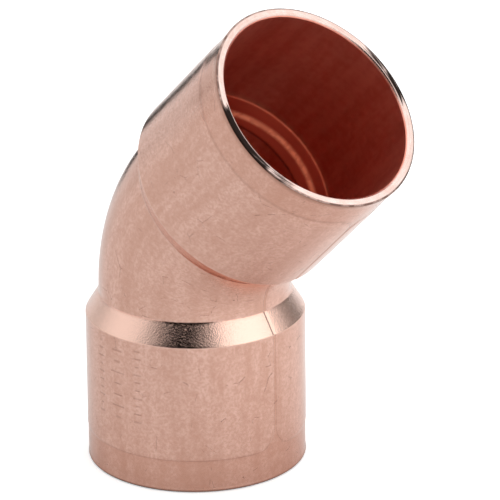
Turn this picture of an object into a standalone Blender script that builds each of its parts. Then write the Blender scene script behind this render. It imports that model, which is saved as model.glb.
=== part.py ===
"""A 45 degree copper pipe elbow with two capillary sockets, formed from one length of tube.

The elbow stands on the mouth of its lower socket. +Z runs up along that socket, the upper socket
leans towards +X, and Y = 0 is the plane of the bend. Each socket takes a pipe of
PIPE_OUTER_DIAMETER, which slides in as far as the stop, where the bore narrows to the bend's.
The two arms are alike, so one arm and half of the bend are modelled, and the rest is their mirror
image across the middle of the bend.
"""

from math import cos, radians, sin, tan

import bmesh
import bpy

# Driving dimensions, in metres.
PIPE_OUTER_DIAMETER = 0.022
SOLDER_GAP = 0.00006  # between pipe and socket, on the radius
SOCKET_WALL = 0.00105
SOCKET_DEPTH = 0.0158  # from the mouth to where the bore starts to narrow
STOP_HEIGHT = 0.00156  # how much narrower the bend's bore is, on the radius
STOP_LENGTH = 0.0026
BEND_WALL = 0.0011
BEND_ANGLE = radians(45)
THROAT_RADIUS = 0.0046  # of the bend's outer surface, on the inner side of the bend
SHOULDER_SETBACK = 0.0011  # from the start of the stop, inside, to the start of the shoulder, outside
SHOULDER_LENGTH = 0.0024
NECK_LENGTH = 0.0005  # straight tube between the shoulder and the bend
MOUTH_ROUNDING = 0.00022  # of the mouth's outer edge
MOUTH_CHAMFER = 0.00022  # of the mouth's inner edge
SHOULDER_ROUNDING = 0.0004  # where a shoulder or a stop meets the straight wall

# How finely the curved surfaces are cut into flat faces.
STEPS_AROUND = 64
STEPS_ALONG_HALF_BEND = 4
STEPS_IN_ROUNDING = 2

# Sizes that follow from the driving dimensions.
BORE_RADIUS = PIPE_OUTER_DIAMETER / 2 + SOLDER_GAP
SOCKET_RADIUS = BORE_RADIUS + SOCKET_WALL
BEND_BORE_RADIUS = BORE_RADIUS - STOP_HEIGHT
BEND_RADIUS = BEND_BORE_RADIUS + BEND_WALL
CENTRELINE_RADIUS = THROAT_RADIUS + BEND_RADIUS
SHOULDER_START = SOCKET_DEPTH + SHOULDER_SETBACK
SHOULDER_END = SHOULDER_START + SHOULDER_LENGTH
ARM_LENGTH = SHOULDER_END + NECK_LENGTH  # from the mouth to the start of the bend
CENTRE_TO_MOUTH = ARM_LENGTH + CENTRELINE_RADIUS * tan(BEND_ANGLE / 2)

# The box around the elbow runs along X from the lower socket's wall to the rounded outer edge of
# the upper mouth. The origin lies midway, so the lower socket's axis stands to one side of it.
ROUNDING_LOSS = MOUTH_ROUNDING * (sin(BEND_ANGLE) + cos(BEND_ANGLE) - 1)
UPPER_REACH = CENTRE_TO_MOUTH * sin(BEND_ANGLE) + SOCKET_RADIUS * cos(BEND_ANGLE) - ROUNDING_LOSS
LOWER_AXIS_X = (SOCKET_RADIUS - UPPER_REACH) / 2


def clear_scene():
    for obj in list(bpy.data.objects):
        bpy.data.objects.remove(obj)


def wall_profile(mesh):
    """Edges through one side of the wall at +X: down the outside, round the mouth and up the bore."""
    corners = [  # radius, height above the mouth, rounding
        (BEND_RADIUS, ARM_LENGTH, 0),
        (BEND_RADIUS, SHOULDER_END, SHOULDER_ROUNDING),
        (SOCKET_RADIUS, SHOULDER_START, SHOULDER_ROUNDING),
        (SOCKET_RADIUS, 0, MOUTH_ROUNDING),
        (BORE_RADIUS + MOUTH_CHAMFER, 0, 0),
        (BORE_RADIUS, MOUTH_CHAMFER, 0),
        (BORE_RADIUS, SOCKET_DEPTH, SHOULDER_ROUNDING),
        (BEND_BORE_RADIUS, SOCKET_DEPTH + STOP_LENGTH, SHOULDER_ROUNDING),
        (BEND_BORE_RADIUS, ARM_LENGTH, 0),
    ]
    points = [mesh.verts.new((radius, 0, height)) for radius, height, rounding in corners]
    for point, next_point in zip(points, points[1:]):
        mesh.edges.new((point, next_point))
    for point, (radius, height, rounding) in zip(points, corners):
        if rounding:
            bmesh.ops.bevel(
                mesh, geom=[point], offset=rounding, offset_type="OFFSET", affect="VERTICES",
                segments=STEPS_IN_ROUNDING, profile=0.5, clamp_overlap=True,
            )
    return mesh.verts[:] + mesh.edges[:]


def open_edges(mesh):
    return [edge for edge in mesh.edges if edge.is_boundary]


def arm_and_half_bend():
    """The lower arm along local Z with its mouth at 0, and the tube around the first half of the bend."""
    mesh = bmesh.new()
    bmesh.ops.spin(
        mesh, geom=wall_profile(mesh), cent=(0, 0, 0), axis=(0, 0, 1),
        angle=radians(360), steps=STEPS_AROUND, use_merge=True,
    )
    bmesh.ops.spin(
        mesh, geom=open_edges(mesh), cent=(CENTRELINE_RADIUS, 0, ARM_LENGTH), axis=(0, 1, 0),
        angle=BEND_ANGLE / 2, steps=STEPS_ALONG_HALF_BEND,
    )
    bmesh.ops.recalc_face_normals(mesh, faces=mesh.faces)
    data = bpy.data.meshes.new("elbow_body")
    mesh.to_mesh(data)
    mesh.free()
    data.shade_smooth()
    data.set_sharp_from_angle(angle=radians(35))
    return data


def bend_middle(body):
    """An empty on the bend's axis. Its local Z plane cuts the tube in the middle of the bend."""
    empty = bpy.data.objects.new("bend_middle", None)
    empty.parent = body
    empty.location = (CENTRELINE_RADIUS, 0, ARM_LENGTH)
    empty.rotation_euler = (0, BEND_ANGLE / 2, 0)
    bpy.context.scene.collection.objects.link(empty)
    return empty


def copper():
    material = bpy.data.materials.new("copper")
    material.use_nodes = True
    shader = material.node_tree.nodes["Principled BSDF"]
    shader.inputs["Base Color"].default_value = (0.85, 0.48, 0.36, 1)
    shader.inputs["Metallic"].default_value = 1
    shader.inputs["Roughness"].default_value = 0.35
    return material


def elbow_body():
    body = bpy.data.objects.new("elbow_body", arm_and_half_bend())
    body.location = (LOWER_AXIS_X, 0, 0)
    body.data.materials.append(copper())
    bpy.context.scene.collection.objects.link(body)
    mirror = body.modifiers.new("upper_arm", "MIRROR")
    mirror.use_axis = (False, False, True)
    mirror.mirror_object = bend_middle(body)
    mirror.merge_threshold = 0.00001
    return body


clear_scene()
elbow_body()
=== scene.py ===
"""The looks of a 45 degree copper pipe elbow: a fine skin with its die marks, and its copper finishes.

Places on the tube are given as if it were straight: `along` runs up the middle of the tube from the
lower mouth, and `around` is the angle from the inner side of the bend. Lengths are in metres.
"""

from math import cos, pi, radians, sin, tan

import bpy
import numpy as np
from mathutils import Matrix, Vector


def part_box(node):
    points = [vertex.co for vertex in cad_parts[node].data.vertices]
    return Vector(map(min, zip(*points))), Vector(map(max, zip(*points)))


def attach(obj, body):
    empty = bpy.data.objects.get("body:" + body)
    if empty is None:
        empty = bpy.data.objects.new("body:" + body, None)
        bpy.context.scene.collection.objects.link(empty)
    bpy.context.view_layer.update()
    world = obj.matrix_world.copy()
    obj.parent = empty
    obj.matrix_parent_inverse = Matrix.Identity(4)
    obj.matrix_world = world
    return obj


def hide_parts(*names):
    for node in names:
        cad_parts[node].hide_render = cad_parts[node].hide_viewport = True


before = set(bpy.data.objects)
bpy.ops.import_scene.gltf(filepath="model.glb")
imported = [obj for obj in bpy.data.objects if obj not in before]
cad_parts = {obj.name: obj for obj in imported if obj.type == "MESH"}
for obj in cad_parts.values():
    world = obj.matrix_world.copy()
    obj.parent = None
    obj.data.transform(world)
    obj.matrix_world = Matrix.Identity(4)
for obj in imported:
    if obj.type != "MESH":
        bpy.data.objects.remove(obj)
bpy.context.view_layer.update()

MM = 0.001

# Sizes of the fitting. Those of the box come from the frame.
CAD_LOW, CAD_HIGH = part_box("elbow_body")
SOCKET_RADIUS = (CAD_HIGH.y - CAD_LOW.y) / 2
LOWER_AXIS_X = CAD_LOW.x + SOCKET_RADIUS
SOCKET_WALL = 1.05 * MM
SOCKET_DEPTH = 15.8 * MM
STOP_HEIGHT = 1.56 * MM
STOP_LENGTH = 2.6 * MM
BEND_WALL = 1.1 * MM
BEND_ANGLE = radians(45)
THROAT_RADIUS = 4.6 * MM
SHOULDER_START = 16.9 * MM
SHOULDER_END = 19.3 * MM
ARM_LENGTH = 19.8 * MM
MOUTH_CHAMFER = 0.22 * MM

BORE_RADIUS = SOCKET_RADIUS - SOCKET_WALL
BEND_BORE_RADIUS = BORE_RADIUS - STOP_HEIGHT
BEND_RADIUS = BEND_BORE_RADIUS + BEND_WALL
CENTRELINE_RADIUS = THROAT_RADIUS + BEND_RADIUS
WHOLE_LENGTH = 2 * ARM_LENGTH + CENTRELINE_RADIUS * BEND_ANGLE

# Roundings of the wall's corners. Start is the end nearer the mouth.
MOUTH_ROUNDING = 0.22 * MM
CHAMFER_ROUNDING = 0.04 * MM
SHOULDER_START_ROUNDING = 0.35 * MM
SHOULDER_END_ROUNDING = 0.7 * MM
STOP_START_ROUNDING = 0.4 * MM
STOP_END_ROUNDING = 0.6 * MM

# The die closes on both arms and the bend in two halves that meet in the plane of the bend. It leaves
# each half a little proud of the strip between them and of the band at each mouth.
LAND_FROM_MOUTH = 3.7 * MM
LAND_FROM_PARTING = 0.16 * MM
LAND_CORNER = 2.4 * MM
LAND_STEP = 0.06 * MM
LAND_EDGE = 0.16 * MM

# Plain dashes pressed into the lower socket, in three columns of uneven rows.
DASH_COLUMNS = [  # angle around, length of the longest dash, distance between dashes
    (radians(-103), 1.2 * MM, 0.92 * MM),
    (radians(-90), 2.1 * MM, 1.3 * MM),
    (radians(-77), 1.3 * MM, 0.92 * MM),
]
DASHES_FROM, DASHES_TO = 7.6 * MM, 16.2 * MM
DASH_SHORTEST = 0.45  # of the longest
DASH_WIDTH = 0.24 * MM
DASH_DEPTH = 0.07 * MM

# Slow swells of the wall: radians a metre along, waves around, and where each wave starts.
SWELLS = [(410, 2, 0.6), (730, -3, 2.1), (240, 5, 4.0)]
SWELL_DEPTH = 0.006 * MM

# The columns of the mesh, in degrees around, and the spacing of its rows.
COLUMNS_FROM, COLUMNS_TO = -4.0, 355.9
COLUMN_STEP = 2.4
FINEST_COLUMN_STEP = 0.4
FINE_COLUMNS = [(-4, 4, 0.4), (176, 184, 0.4), (-111, -70, 0.65)]  # from, to, step
ROUNDING_STEPS = 5
BEND_STEPS = 40
LAND_EDGE_ROWS = 0.08 * MM
DASH_ROWS = 0.12 * MM
FINE_ROWS, INNER_FINE_ROWS = 0.2 * MM, 0.15 * MM
PLAIN_ROWS, INNER_PLAIN_ROWS = 0.5 * MM, 0.7 * MM
FINE_MARGIN, DASH_MARGIN = 0.5 * MM, 0.4 * MM  # how far the finer rows reach past what needs them

# A painted glint drawn on the stop, in place of a glint along its edge, and a fainter painted glint
# where the stop starts. The first sways a little towards and away from the mouth.
STOP_LINE = 17.4 * MM  # from the mouth
STOP_LINE_SWAY = 0.25 * MM
START_LINE_STRENGTH = 0.6

# Painted dark reflections on each mouth's ring: the angle at their middle, and how far each reaches from
# it.
DARK_REFLECTION_STRETCHES = [(-86, 20), (-60, 5), (86, 11), (103, 8)]  # degrees

# How deep the streaks on the burnished shoulders are, against the other marks.
RUBBED_DEPTH = 1.6

# How high the marks of a surface stand where their height is 1, before each finish's own strength.
MARK_HEIGHT = 0.02 * MM

# Colours of the copper. A pair is the darkest and the palest of the mottling.
SATIN = (0.66, 0.39, 0.305, 1), (0.81, 0.52, 0.43, 1)
SATIN_SPECKLE = (0.62, 0.345, 0.265, 1)
OFF_THE_LANDS = (0.58, 0.29, 0.205, 1)
BURNISHED = (0.86, 0.57, 0.47, 1)
# Darkens the pits, scratches and dashes, and is painted shade along the mouths' outer edges and the lands'
# edges.
MARKS_AND_EDGE_SHADE = (0.20, 0.085, 0.055, 1)
CUT = (0.82, 0.615, 0.55, 1), (0.92, 0.74, 0.68, 1)
TOOL_RINGS = (0.74, 0.47, 0.39, 1)
# Painted shade along the outer edge of each mouth's ring.
RIM_EDGE_SHADE = (0.12, 0.055, 0.04, 1)
# Painted dark reflection on each mouth's ring.
PAINTED_DARK_REFLECTION = (0.018, 0.011, 0.009, 1)
RED_BORE = (0.81, 0.31, 0.225, 1), (0.93, 0.42, 0.32, 1)
# Painted shade on the stops.
STOP_SHADE = (0.33, 0.09, 0.06, 1)
# Painted glint on the stops.
PAINTED_GLINT = (1.0, 0.72, 0.52, 1)

FLOOR_SIZE = 4
FLOOR_DROP = 0.05 * MM  # below the elbow, so that the two don't share a surface
FLOOR_GLOW = 0.45
# The floor's tone grows paler towards one side: painted light, which the copper reflects.
FLOOR_TONES = 0.80, 1.0
FLOOR_FADE = 50 * MM  # from the middle to either tone
PAINTED_LIGHT_SIDE = (cos(radians(50)), sin(radians(50)), 0)  # the floor grows paler this way

CARD_AZIMUTH = -114
CARD_DISTANCE = 160 * MM
CARD_WIDTH = 30 * MM
CARD_HEIGHT = 44 * MM

ROOM_LIGHT = 0.95, 1.25  # low down and overhead
WINDOWS = [  # azimuth, elevation, half width, half height in degrees, softness, brightness
    (34, 33, 31, 22, 0.03, 0.01),  # the dark opening that the camera looks through
    (-45, 24, 24, 14, 0.10, 1.05),
    (109, 33, 30, 20, 0.03, 1.65),
    (-82, 9, 12, 10, 0.15, 0.55),
    (-13, 30, 6, 12, 0.06, 0.6),
    (162, 12, 17, 11, 0.10, 0.35),
    (185, 0, 14, 12, 0.10, 0.08),
]

CAMERA_AIM = Vector((0.774, 0.293, 25.643)) * MM
CAMERA_AZIMUTH, CAMERA_ELEVATION = 44.266, 21.122
CAMERA_DISTANCE = 0.44446
CAMERA_ROLL = radians(-0.58)
LENS, SENSOR_WIDTH = 296.76, 36

# The finish of the faces, in the order of the mesh's materials.
OUTSIDE, MOUTH, BORE = range(3)


def smooth_step(low, high, value):
    t = np.clip((value - low) / (high - low), 0, 1)
    return t * t * (3 - 2 * t)


# ---------------------------------------------------------------- shape


def around_angles():
    """Angles of the mesh's columns: close together at the die's parting lines and at the dashes."""
    angles, angle = [], COLUMNS_FROM
    while angle < COLUMNS_TO:
        turn = (angle + 180) % 360 - 180
        step = COLUMN_STEP
        for low, high, fine in FINE_COLUMNS:
            if low <= angle < high or low <= turn < high:
                step = fine
            elif low - COLUMN_STEP < turn < low:
                step = min(step, max(low - turn, FINEST_COLUMN_STEP))
        angles.append(radians(angle))
        angle += step
    return np.array(angles)


def rounded(before, corner, after, rounding):
    """An arc that touches both legs of a corner of a profile."""
    to_before = (before - corner).normalized()
    to_after = (after - corner).normalized()
    half = to_before.angle(to_after) / 2
    leg = rounding / tan(half)
    centre = corner + (to_before + to_after).normalized() * (rounding / sin(half))
    start, end = corner + to_before * leg - centre, corner + to_after * leg - centre
    shares = [step / ROUNDING_STEPS for step in range(ROUNDING_STEPS + 1)]
    return [centre + start.lerp(end, share).normalized() * rounding for share in shares]


def profile(corners, spacing):
    """Points (distance from the mouth, radius) through the corners, about spacing apart."""
    points = [Vector(corners[0][:2])]
    for before, corner, after in zip(corners, corners[1:], corners[2:]):
        place = Vector(corner[:2])
        if corner[2]:
            points += rounded(Vector(before[:2]), place, Vector(after[:2]), corner[2])
        else:
            points.append(place)
    points.append(Vector(corners[-1][:2]))
    divided = [points[0]]
    for start, end in zip(points, points[1:]):
        middle = (start.x + end.x) / 2
        count = max(1, round((end - start).length / spacing(middle)))
        divided += [start.lerp(end, step / count) for step in range(1, count + 1)]
    return divided


def outside_spacing(lower):
    def spacing(distance):
        if abs(distance - LAND_FROM_MOUTH) < FINE_MARGIN:
            return LAND_EDGE_ROWS
        if lower and DASHES_FROM - DASH_MARGIN < distance < DASHES_TO + DASH_MARGIN:
            return DASH_ROWS
        if distance < LAND_FROM_MOUTH + LAND_CORNER or distance > SHOULDER_START - FINE_MARGIN:
            return FINE_ROWS
        return PLAIN_ROWS
    return spacing


def arm_outside(lower):
    corners = [
        (0, (SOCKET_RADIUS + BORE_RADIUS) / 2, 0),
        (0, SOCKET_RADIUS, MOUTH_ROUNDING),
        (SHOULDER_START, SOCKET_RADIUS, SHOULDER_START_ROUNDING),
        (SHOULDER_END, BEND_RADIUS, SHOULDER_END_ROUNDING),
        (ARM_LENGTH, BEND_RADIUS, 0),
    ]
    return profile(corners, outside_spacing(lower))


def inside_spacing(distance):
    if distance < MOUTH_CHAMFER or distance > SOCKET_DEPTH - FINE_MARGIN:
        return INNER_FINE_ROWS
    return INNER_PLAIN_ROWS


def arm_inside():
    corners = [
        (0, (SOCKET_RADIUS + BORE_RADIUS) / 2, 0),
        (0, BORE_RADIUS + MOUTH_CHAMFER, CHAMFER_ROUNDING),
        (MOUTH_CHAMFER, BORE_RADIUS, CHAMFER_ROUNDING),
        (SOCKET_DEPTH, BORE_RADIUS, STOP_START_ROUNDING),
        (SOCKET_DEPTH + STOP_LENGTH, BEND_BORE_RADIUS, STOP_END_ROUNDING),
        (ARM_LENGTH, BEND_BORE_RADIUS, 0),
    ]
    return profile(corners, inside_spacing)[1:]


def wall_rows():
    """(along, radius, is it the outside) for each ring of the mesh, up the outside and down the inside."""
    arc = WHOLE_LENGTH - 2 * ARM_LENGTH
    bend = [ARM_LENGTH + arc * step / BEND_STEPS for step in range(1, BEND_STEPS)]
    rows = [(p.x, p.y, True) for p in arm_outside(lower=True)]
    rows += [(along, BEND_RADIUS, True) for along in bend]
    rows += [(WHOLE_LENGTH - p.x, p.y, True) for p in reversed(arm_outside(lower=False))]
    rows += [(WHOLE_LENGTH - p.x, p.y, False) for p in arm_inside()]
    rows += [(along, BEND_BORE_RADIUS, False) for along in reversed(bend[::2])]
    rows += [(p.x, p.y, False) for p in reversed(arm_inside())]
    return rows


def die_marks(from_mouth, around, radius):
    """How far the surface lies below the die's two lands."""
    from_parting = radius * np.abs((around + pi / 2) % pi - pi / 2)
    across = from_parting - LAND_FROM_PARTING
    up = from_mouth - LAND_FROM_MOUTH
    short_across = np.maximum(LAND_CORNER - across, 0)
    short_up = np.maximum(LAND_CORNER - up, 0)
    corner = LAND_CORNER - np.hypot(short_across, short_up)
    into_land = np.minimum(np.minimum(across, up), corner)
    return LAND_STEP * (1 - smooth_step(-LAND_EDGE / 2, LAND_EDGE / 2, into_land))


def dashes(along, around, radius):
    """The depth of the dashes pressed into the lower socket."""
    turned = (around + pi) % (2 * pi) - pi
    depth = np.zeros_like(along)
    for angle, length, pitch in DASH_COLUMNS:
        row = np.round((along - DASHES_FROM) / pitch)
        row = np.clip(row, 0, np.floor((DASHES_TO - DASHES_FROM) / pitch))
        share = DASH_SHORTEST + (1 - DASH_SHORTEST) * (0.5 + 0.5 * np.sin(row * 2.4 + angle * 9))
        beyond_end = np.maximum(np.abs(turned - angle) * radius - (length * share - DASH_WIDTH) / 2, 0)
        off_line = along - DASHES_FROM - row * pitch
        distance = np.hypot(beyond_end, off_line)
        depth = np.maximum(depth, DASH_DEPTH * (1 - smooth_step(0, DASH_WIDTH / 2, distance)))
    return depth


def unevenness(along, around):
    """Slow swells that forming leaves in the wall, never above the nominal surface."""
    swell = sum(np.sin(along * length + turns * around + start) for length, turns, start in SWELLS)
    return SWELL_DEPTH * (len(SWELLS) + swell)


def on_tube(along, around, radius):
    """Points in space for places on the tube."""
    turned = np.clip((along - ARM_LENGTH) / CENTRELINE_RADIUS, 0, BEND_ANGLE)
    beyond = along - ARM_LENGTH - CENTRELINE_RADIUS * turned
    out = radius * np.cos(around) - CENTRELINE_RADIUS
    x = LOWER_AXIS_X + CENTRELINE_RADIUS + out * np.cos(turned) + beyond * np.sin(turned)
    z = ARM_LENGTH - out * np.sin(turned) + beyond * np.cos(turned)
    return np.stack([x, radius * np.sin(around), z], axis=-1)


def outside_masks(from_mouth, radius):
    """Where the burnished shoulders and the mouths' outer edges are, from 0 to 1."""
    shoulder = smooth_step(SHOULDER_START - 0.12 * MM, SHOULDER_START + 0.12 * MM, from_mouth)
    shoulder = shoulder * (1 - smooth_step(SHOULDER_END - 0.3 * MM, SHOULDER_END + 0.1 * MM, from_mouth))
    by_mouth = 1 - smooth_step(0.1 * MM, 0.35 * MM, from_mouth)
    mouth_edge = by_mouth * (radius > SOCKET_RADIUS - 0.15 * MM)
    return {"shoulder": shoulder, "mouth_edge": mouth_edge}


def inside_masks(from_mouth, around, inside):
    """Where the stops and the painted glints drawn on them are, from 0 to 1."""
    stop_end = SOCKET_DEPTH + STOP_LENGTH
    stop = inside * smooth_step(SOCKET_DEPTH - 0.1 * MM, SOCKET_DEPTH + 0.3 * MM, from_mouth)
    stop = stop * (1 - smooth_step(stop_end, stop_end + 0.3 * MM, from_mouth))
    off_line = np.abs(from_mouth - STOP_LINE - STOP_LINE_SWAY * np.cos(2 * around))
    line = 1 - smooth_step(0.05 * MM, 0.4 * MM, off_line)
    start_line = 1 - smooth_step(0.05 * MM, 0.25 * MM, np.abs(from_mouth - SOCKET_DEPTH))
    lines = inside * np.maximum(line, START_LINE_STRENGTH * start_line)
    return {"stop": stop, "painted_stop_glint": lines}


def elbow_mesh():
    rows = wall_rows()
    around = around_angles()
    along = np.repeat([[row[0]] for row in rows], len(around), axis=1)
    radius = np.repeat([[row[1]] for row in rows], len(around), axis=1)
    outside = np.array([row[2] for row in rows])
    from_mouth = np.minimum(along, WHOLE_LENGTH - along)
    angle = np.broadcast_to(around, along.shape)

    below_land = die_marks(from_mouth, angle, radius)
    pressed = dashes(along, angle, radius)
    lowered = below_land + pressed + unevenness(along, angle)
    clear_of_mouth = smooth_step(0, 0.6 * MM, from_mouth)
    radius = radius - np.where(outside[:, None], lowered * clear_of_mouth, 0)

    points = on_tube(along, angle, radius).reshape(-1, 3)
    count, turns = len(rows), len(around)
    row, column = np.meshgrid(np.arange(count), np.arange(turns), indexing="ij")
    next_row, next_column = (row + 1) % count, (column + 1) % turns
    corners = [row * turns + column, row * turns + next_column,
               next_row * turns + next_column, next_row * turns + column]
    faces = np.stack(corners, axis=-1).reshape(-1, 4)

    mesh = bpy.data.meshes.new("copper_elbow")
    mesh.from_pydata(points.tolist(), [], faces.tolist())
    middle = (from_mouth + np.roll(from_mouth, -1, axis=0)) / 2
    is_mouth = middle < 0.5 * MOUTH_ROUNDING
    is_outside = outside[:, None] & np.roll(outside, -1)[:, None] & ~is_mouth
    finish = np.where(is_mouth, MOUTH, np.where(is_outside, OUTSIDE, BORE))
    mesh.polygons.foreach_set("material_index", finish.reshape(-1).astype(np.int32))

    straight = np.stack([radius * np.cos(angle), radius * np.sin(angle), along], axis=-1) / MM
    attribute = mesh.attributes.new("straight_tube_mm", "FLOAT_VECTOR", "POINT")
    attribute.data.foreach_set("vector", straight.reshape(-1).astype(np.float32))
    inside = np.broadcast_to(~outside[:, None], along.shape)
    masks = outside_masks(from_mouth, radius) | inside_masks(from_mouth, angle, inside)
    masks |= {"land": 1 - below_land / LAND_STEP, "dash": pressed / DASH_DEPTH}
    for name, mask in masks.items():
        attribute = mesh.attributes.new(name, "FLOAT", "POINT")
        attribute.data.foreach_set("value", mask.reshape(-1).astype(np.float32))
    mesh.shade_smooth()
    mesh.update()
    return mesh


# ---------------------------------------------------------------- materials


class Nodes:
    """Adds nodes to a tree and links what they are given."""

    def __init__(self, tree):
        self.tree = tree

    def add(self, kind, settings=None, **inputs):
        node = self.tree.nodes.new(kind)
        for name, value in (settings or {}).items():
            setattr(node, name, value)
        for name, value in inputs.items():
            self.set(node.inputs[name.replace("_", " ")], value)
        return node

    def set(self, socket, value):
        if isinstance(value, bpy.types.NodeSocket):
            self.tree.links.new(value, socket)
        else:
            socket.default_value = value

    def math(self, operation, *values):
        node = self.tree.nodes.new("ShaderNodeMath")
        node.operation = operation
        for socket, value in zip(node.inputs, values):
            self.set(socket, value)
        return node.outputs[0]

    def vector(self, operation, *values):
        node = self.tree.nodes.new("ShaderNodeVectorMath")
        node.operation = operation
        for socket, value in zip(node.inputs, values):
            self.set(socket, value)
        return node.outputs["Value" if operation in ("DOT_PRODUCT", "LENGTH") else "Vector"]

    def between(self, value, from_low, from_high, to_low=0.0, to_high=1.0):
        node = self.tree.nodes.new("ShaderNodeMapRange")
        node.interpolation_type = "SMOOTHSTEP"
        for socket, number in zip(node.inputs, (value, from_low, from_high, to_low, to_high)):
            self.set(socket, number)
        return node.outputs["Result"]

    def mix(self, amount, low, high):
        node = self.tree.nodes.new("ShaderNodeMix")
        node.data_type = "RGBA"
        self.set(node.inputs[0], amount)
        self.set(node.inputs[6], low)
        self.set(node.inputs[7], high)
        return node.outputs[2]

    def noise(self, vector, scale, detail=2.0, roughness=0.5):
        values = {"Vector": vector, "Scale": scale, "Detail": detail, "Roughness": roughness}
        return self.add("ShaderNodeTexNoise", **values).outputs["Fac"]


def group(name, inputs, outputs):
    """An empty shader node group, from inputs (name, socket type, default) and outputs (name, type)."""
    tree = bpy.data.node_groups.new(name, "ShaderNodeTree")
    for label, kind, default in inputs:
        socket = tree.interface.new_socket(label, in_out="INPUT", socket_type=kind)
        if default is not None:
            socket.default_value = default
    for label, kind in outputs:
        tree.interface.new_socket(label, in_out="OUTPUT", socket_type=kind)
    nodes = Nodes(tree)
    start = nodes.add("NodeGroupInput")
    end = nodes.add("NodeGroupOutput")
    return tree, nodes, start.outputs, end.inputs


def drawn_surface_group():
    """Marks of drawing, forming and handling, at places on the straight tube in millimetres."""
    tree, n, given, result = group(
        "drawn_surface",
        [("Place", "NodeSocketVector", None), ("Lines", "NodeSocketFloat", 1.0),
         ("Grain", "NodeSocketFloat", 1.0), ("Dents", "NodeSocketFloat", 1.0),
         ("Scratches", "NodeSocketFloat", 1.0), ("Pits", "NodeSocketFloat", 1.0)],
        [("Height", "NodeSocketFloat"), ("Mottle", "NodeSocketFloat"), ("Pit Mask", "NodeSocketFloat"),
         ("Scratch Mask", "NodeSocketFloat"), ("Speckle", "NodeSocketFloat")],
    )
    place = given["Place"]
    lines = n.noise(n.vector("MULTIPLY", place, (9.0, 9.0, 0.35)), 1.0, 2.0)
    grain = n.noise(place, 5.0, 3.0, 0.6)
    dents = n.noise(place, 0.55, 1.0)

    wavy = n.add("ShaderNodeTexNoise", Vector=place, Scale=0.2, Detail=1.0).outputs["Color"]
    bent = n.vector("ADD", place, n.vector("MULTIPLY", wavy, (1.6, 1.6, 1.6)))
    cells = n.add("ShaderNodeTexVoronoi", {"feature": "DISTANCE_TO_EDGE"}, Vector=bent, Scale=0.24)
    scratch = n.between(cells.outputs["Distance"], 0.002, 0.007, 1.0, 0.0)
    scratch = n.math("MULTIPLY", scratch, n.between(n.noise(place, 0.6, 2.0), 0.56, 0.62))

    spots = n.add("ShaderNodeTexVoronoi", {"feature": "F1"}, Vector=place, Scale=0.5, Randomness=1.0)
    small = n.add("ShaderNodeSeparateXYZ", Vector=spots.outputs["Color"])
    width = n.math("MULTIPLY", small.outputs["X"], 0.045)
    pit = n.between(n.math("SUBTRACT", spots.outputs["Distance"], width), 0.0, 0.03, 1.0, 0.0)
    pit = n.math("MULTIPLY", pit, n.between(small.outputs["Y"], 0.7, 0.72))

    height = n.math("MULTIPLY", lines, given["Lines"])
    height = n.math("ADD", height, n.math("MULTIPLY", grain, given["Grain"]))
    height = n.math("ADD", height, n.math("MULTIPLY", dents, given["Dents"]))
    height = n.math("SUBTRACT", height, n.math("MULTIPLY", pit, given["Pits"]))
    height = n.math("SUBTRACT", height, n.math("MULTIPLY", scratch, given["Scratches"]))
    broad = n.noise(n.vector("MULTIPLY", place, (0.5, 0.5, 0.06)), 1.0, 3.0, 0.6)
    fine = n.noise(place, 1.3, 3.0, 0.6)
    both = n.math("ADD", n.math("MULTIPLY", broad, 0.6), n.math("MULTIPLY", fine, 0.4))
    n.set(result["Height"], height)
    n.set(result["Mottle"], n.between(both, 0.35, 0.65))
    n.set(result["Pit Mask"], pit)
    n.set(result["Scratch Mask"], scratch)
    n.set(result["Speckle"], n.between(n.noise(place, 3.2, 2.0), 0.35, 0.65))
    return tree


def copper_material(name, roughness):
    """A copper material with its shader, and the place on the straight tube."""
    material = bpy.data.materials.new(name)
    material.use_nodes = True
    n = Nodes(material.node_tree)
    shader = material.node_tree.nodes["Principled BSDF"]
    shader.inputs["Metallic"].default_value = 1
    shader.inputs["Roughness"].default_value = roughness
    place = n.add("ShaderNodeAttribute", {"attribute_name": "straight_tube_mm"}).outputs["Vector"]
    return material, n, shader.inputs, place


def mesh_mask(n, name):
    return n.add("ShaderNodeAttribute", {"attribute_name": name}).outputs["Fac"]


def rubbed_height(n, place):
    """The short streaks that rubbing leaves along a burnished shoulder, at places in millimetres."""
    streaks = n.noise(n.vector("MULTIPLY", place, (8.0, 8.0, 3.5)), 1.0, 3.0, 0.7)
    return n.math("MULTIPLY", streaks, RUBBED_DEPTH)


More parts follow.
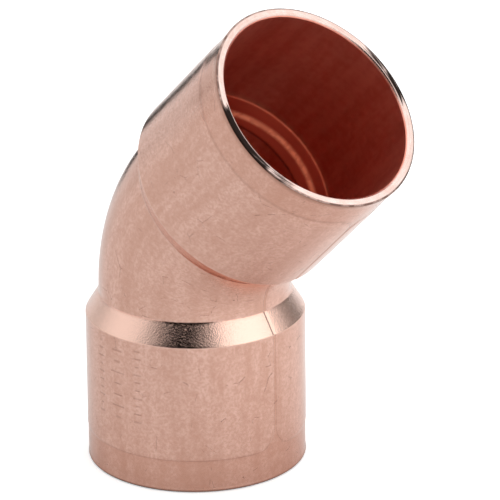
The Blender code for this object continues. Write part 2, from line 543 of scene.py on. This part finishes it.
def formed_copper(surface):
    """The satin outside, burnished bright on the shoulders and a little duller off the die's lands.
    Painted shade darkens the mouths' outer edges and the edges of the lands.
    """
    material, n, shader, place = copper_material("formed_copper", 0.25)
    shoulder = mesh_mask(n, "shoulder")
    satin = n.math("SUBTRACT", 1.0, shoulder)
    marks = n.add("ShaderNodeGroup", {"node_tree": surface}, Place=place, Lines=0.35, Grain=1.0, Dents=1.2,
                  Scratches=satin, Pits=2.0).outputs
    colour = n.mix(marks["Mottle"], *SATIN)
    colour = n.mix(n.math("MULTIPLY", marks["Speckle"], 0.55), colour, SATIN_SPECKLE)
    dull = n.math("SUBTRACT", 1.0, mesh_mask(n, "land"))
    colour = n.mix(n.math("MULTIPLY", dull, 0.3), colour, OFF_THE_LANDS)
    colour = n.mix(shoulder, colour, BURNISHED)
    # Painted shade along the edges of the die's lands.
    land_edge_shade = n.between(n.math("ABSOLUTE", n.math("SUBTRACT", dull, 0.6)), 0.1, 0.4, 0.18, 0.0)
    pit = n.math("MULTIPLY", marks["Pit Mask"], 0.6)
    dark = n.math("MAXIMUM", pit, n.math("MULTIPLY", mesh_mask(n, "dash"), 0.5))
    scratch = n.math("MULTIPLY", marks["Scratch Mask"], n.math("MULTIPLY", satin, 0.4))
    dark = n.math("MAXIMUM", dark, scratch)
    # Painted shade along the mouths' outer edges.
    dark = n.math("MAXIMUM", dark, n.math("MULTIPLY", mesh_mask(n, "mouth_edge"), 0.75))
    dark = n.math("MAXIMUM", dark, land_edge_shade)
    n.set(shader["Base Color"], n.mix(dark, colour, MARKS_AND_EDGE_SHADE))
    edge_on = n.between(n.add("ShaderNodeLayerWeight").outputs["Facing"], 0.62, 0.80)
    rough = n.between(marks["Mottle"], 0.0, 1.0, 0.21, 0.27)
    rough = n.math("SUBTRACT", rough, n.math("MULTIPLY", edge_on, 0.14))  # glossier at a grazing angle
    burnished = n.between(marks["Speckle"], 0.0, 1.0, 0.035, 0.07)
    rough = n.math("ADD", n.math("MULTIPLY", rough, satin), n.math("MULTIPLY", burnished, shoulder))
    n.set(shader["Roughness"], rough)
    height = n.math("ADD", marks["Height"], n.math("MULTIPLY", shoulder, rubbed_height(n, place)))
    bump = n.add("ShaderNodeBump", Height=height, Distance=MARK_HEIGHT, Strength=0.8)
    n.set(shader["Normal"], bump.outputs["Normal"])
    return material


def cut_copper(surface):
    """The faced ring of each mouth, with rings from the tool, painted dark reflections on two sides,
    and painted shade along its outer edge.
    """
    material, n, shader, place = copper_material("cut_copper", 0.22)
    marks = n.add("ShaderNodeGroup", {"node_tree": surface}, Place=place, Lines=0.0, Grain=0.6, Dents=0.0,
                  Scratches=0.5, Pits=1.0).outputs
    flat = n.vector("MULTIPLY", place, (1.0, 1.0, 0.0))
    from_axis = n.vector("LENGTH", flat)
    rings = n.add("ShaderNodeCombineXYZ", X=n.math("MULTIPLY", from_axis, 5.0)).outputs["Vector"]
    rings = n.noise(n.vector("ADD", rings, n.vector("MULTIPLY", flat, (0.6, 0.6, 0.0))), 1.0, 3.0, 0.7)
    ragged = n.math("MULTIPLY", n.math("SUBTRACT", rings, 0.5), 0.07)
    dark = 0.0
    # Painted dark reflections on the ring.
    for angle, reach in DARK_REFLECTION_STRETCHES:
        towards = (cos(radians(angle)), sin(radians(angle)), 0.0)
        facing = n.math("DIVIDE", n.vector("DOT_PRODUCT", flat, towards), from_axis)
        facing = n.math("ADD", facing, ragged)
        edge = cos(radians(reach))
        dark = n.math("MAXIMUM", dark, n.between(facing, edge - 0.012, edge + 0.012))
    dark = n.math("MULTIPLY", dark, n.between(rings, 0.30, 0.42, 0.6, 1.0))
    inner_edge = n.between(from_axis, BORE_RADIUS / MM + 0.22, BORE_RADIUS / MM + 0.34)
    dark = n.math("MULTIPLY", dark, inner_edge)
    # Painted shade along the ring's outer edge.
    outer_edge_shade = n.between(from_axis, SOCKET_RADIUS / MM - 0.30, SOCKET_RADIUS / MM - 0.17)
    outer_edge_shade = n.math("MULTIPLY", outer_edge_shade, n.between(marks["Mottle"], 0.2, 0.8, 0.55, 0.9))
    colour = n.mix(marks["Mottle"], *CUT)
    colour = n.mix(n.math("MULTIPLY", n.between(rings, 0.35, 0.6), 0.35), colour, TOOL_RINGS)
    colour = n.mix(outer_edge_shade, colour, RIM_EDGE_SHADE)
    colour = n.mix(dark, colour, PAINTED_DARK_REFLECTION)
    n.set(shader["Base Color"], colour)
    height = n.math("ADD", marks["Height"], n.math("MULTIPLY", rings, 2.0))
    bump = n.add("ShaderNodeBump", Height=height, Distance=MARK_HEIGHT, Strength=0.5)
    n.set(shader["Normal"], bump.outputs["Normal"])
    return material


def bore_copper(surface):
    """The inside: deep red, with painted shade on the stops and a painted glint on each stop."""
    material, n, shader, place = copper_material("bore_copper", 0.40)
    marks = n.add("ShaderNodeGroup", {"node_tree": surface}, Place=place, Lines=0.4, Grain=0.4, Dents=2.5,
                  Scratches=0.3, Pits=0.3).outputs
    colour = n.mix(marks["Mottle"], *RED_BORE)
    # Painted shade on the stops, then a painted glint on each.
    colour = n.mix(mesh_mask(n, "stop"), colour, STOP_SHADE)
    bright = n.math("MULTIPLY", mesh_mask(n, "painted_stop_glint"), n.between(marks["Mottle"], 0.3, 0.7, 0.7, 1.0))
    colour = n.mix(bright, colour, PAINTED_GLINT)
    n.set(shader["Base Color"], colour)
    bump = n.add("ShaderNodeBump", Height=marks["Height"], Distance=MARK_HEIGHT, Strength=0.5)
    n.set(shader["Normal"], bump.outputs["Normal"])
    return material


def copper_elbow():
    elbow = bpy.data.objects.new("copper_elbow", elbow_mesh())
    bpy.context.scene.collection.objects.link(elbow)
    surface = drawn_surface_group()
    for make in (formed_copper, cut_copper, bore_copper):
        elbow.data.materials.append(make(surface))
    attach(elbow, "root")
    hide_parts("elbow_body")


# ---------------------------------------------------------------- studio


def floor():
    """A pale floor, which glows a little where the camera sees it, so that it runs into the background.
    Its tone grows paler towards one side: painted light.
    """
    bpy.ops.mesh.primitive_plane_add(size=FLOOR_SIZE)
    plane = bpy.context.object
    plane.name = "floor"
    plane.location.z = -FLOOR_DROP
    material = bpy.data.materials.new("pale_floor")
    material.use_nodes = True
    n = Nodes(material.node_tree)
    shader = material.node_tree.nodes["Principled BSDF"].inputs
    place = n.add("ShaderNodeTexCoord").outputs["Object"]
    sideways = n.vector("DOT_PRODUCT", place, PAINTED_LIGHT_SIDE)
    tone = n.between(sideways, -FLOOR_FADE, FLOOR_FADE, *FLOOR_TONES)
    grey = n.add("ShaderNodeCombineColor", Red=tone, Green=tone, Blue=tone)
    n.set(shader["Base Color"], grey.outputs["Color"])
    shader["Roughness"].default_value = 0.9
    shader["Specular IOR Level"].default_value = 0.1
    shader["Emission Color"].default_value = (1, 1, 1, 1)
    seen = n.add("ShaderNodeLightPath").outputs["Is Camera Ray"]
    n.set(shader["Emission Strength"], n.math("MULTIPLY", seen, FLOOR_GLOW))
    plane.data.materials.append(material)


def dark_card():
    """A dark card on the floor, behind and to the left. It darkens the copper's reflections there.

    The camera itself doesn't see it.
    """
    bpy.ops.mesh.primitive_plane_add(size=1)
    card = bpy.context.object
    card.name = "dark_card"
    card.scale = (CARD_WIDTH, CARD_HEIGHT, 1)
    card.rotation_euler = (pi / 2, 0, radians(CARD_AZIMUTH))
    card.location = direction(CARD_AZIMUTH, 0) * CARD_DISTANCE + Vector((0, 0, CARD_HEIGHT / 2))
    material = bpy.data.materials.new("dark_paper")
    material.use_nodes = True
    shader = material.node_tree.nodes["Principled BSDF"].inputs
    shader["Base Color"].default_value = (0.04, 0.04, 0.04, 1)
    shader["Roughness"].default_value = 0.9
    card.data.materials.append(material)
    card.visible_camera = False


def direction(azimuth, elevation):
    a, e = radians(azimuth), radians(elevation)
    return Vector((sin(a) * cos(e), -cos(a) * cos(e), sin(e)))


def window_group():
    """1 inside a soft-edged rectangle of directions, 0 outside."""
    tree, n, given, result = group(
        "window",
        [("Direction", "NodeSocketVector", None), ("Middle", "NodeSocketVector", None),
         ("Right", "NodeSocketVector", None), ("Up", "NodeSocketVector", None),
         ("Half Width", "NodeSocketFloat", 1.0), ("Half Height", "NodeSocketFloat", 1.0),
         ("Softness", "NodeSocketFloat", 0.1)],
        [("Mask", "NodeSocketFloat")],
    )
    ahead = n.vector("DOT_PRODUCT", given["Direction"], given["Middle"])
    near = n.math("MAXIMUM", ahead, 0.001)
    mask = n.between(ahead, 0.0, 0.05)
    for axis, half in (("Right", "Half Width"), ("Up", "Half Height")):
        offset = n.math("DIVIDE", n.vector("DOT_PRODUCT", given["Direction"], given[axis]), near)
        inside = n.math("SUBTRACT", given[half], n.math("ABSOLUTE", offset))
        side = n.between(n.math("DIVIDE", inside, given["Softness"]), -1.0, 1.0)
        mask = n.math("MULTIPLY", mask, side)
    n.set(result["Mask"], mask)
    return tree


def studio_light():
    """A white room with soft windows and dark openings. The camera itself sees plain white."""
    world = bpy.data.worlds.new("studio")
    bpy.context.scene.world = world
    world.use_nodes = True
    n = Nodes(world.node_tree)
    shader = world.node_tree.nodes["Background"]
    towards = n.add("ShaderNodeTexCoord").outputs["Generated"]
    height = n.add("ShaderNodeSeparateXYZ", Vector=towards).outputs["Z"]
    light = n.between(height, -0.1, 1.0, *ROOM_LIGHT)
    tree = window_group()
    for azimuth, elevation, width, tall, softness, brightness in WINDOWS:
        middle = direction(azimuth, elevation)
        right = direction(azimuth + 90, 0)
        node = n.add("ShaderNodeGroup", {"node_tree": tree}, Direction=towards, Middle=middle, Right=right,
                     Up=right.cross(middle) * -1, Half_Width=tan(radians(width)),
                     Half_Height=tan(radians(tall)), Softness=softness)
        mask = node.outputs["Mask"]
        light = n.math("ADD", n.math("MULTIPLY", light, n.math("SUBTRACT", 1.0, mask)),
                       n.math("MULTIPLY", mask, brightness))
    seen = n.add("ShaderNodeLightPath").outputs["Is Camera Ray"]
    light = n.math("ADD", n.math("MULTIPLY", light, n.math("SUBTRACT", 1.0, seen)), seen)
    n.set(shader.inputs["Strength"], light)
    shader.inputs["Color"].default_value = (1, 1, 1, 1)


def camera():
    """Looks down at the elbow from the front right, from far away."""
    back = direction(CAMERA_AZIMUTH, CAMERA_ELEVATION)
    data = bpy.data.cameras.new("camera")
    data.sensor_width = SENSOR_WIDTH
    data.lens = LENS
    data.clip_start, data.clip_end = 0.05, 20
    view = bpy.data.objects.new("camera", data)
    view.location = CAMERA_AIM + back * CAMERA_DISTANCE
    upright = (-back).to_track_quat("-Z", "Y").to_matrix().to_4x4()
    view.rotation_euler = (upright @ Matrix.Rotation(CAMERA_ROLL, 4, "Z")).to_euler()
    bpy.context.scene.collection.objects.link(view)
    bpy.context.scene.camera = view


copper_elbow()
floor()
dark_card()
studio_light()
camera()
bpy.context.scene.view_settings.view_transform = "Standard"
bpy.context.scene.cycles.glossy_bounces = 10
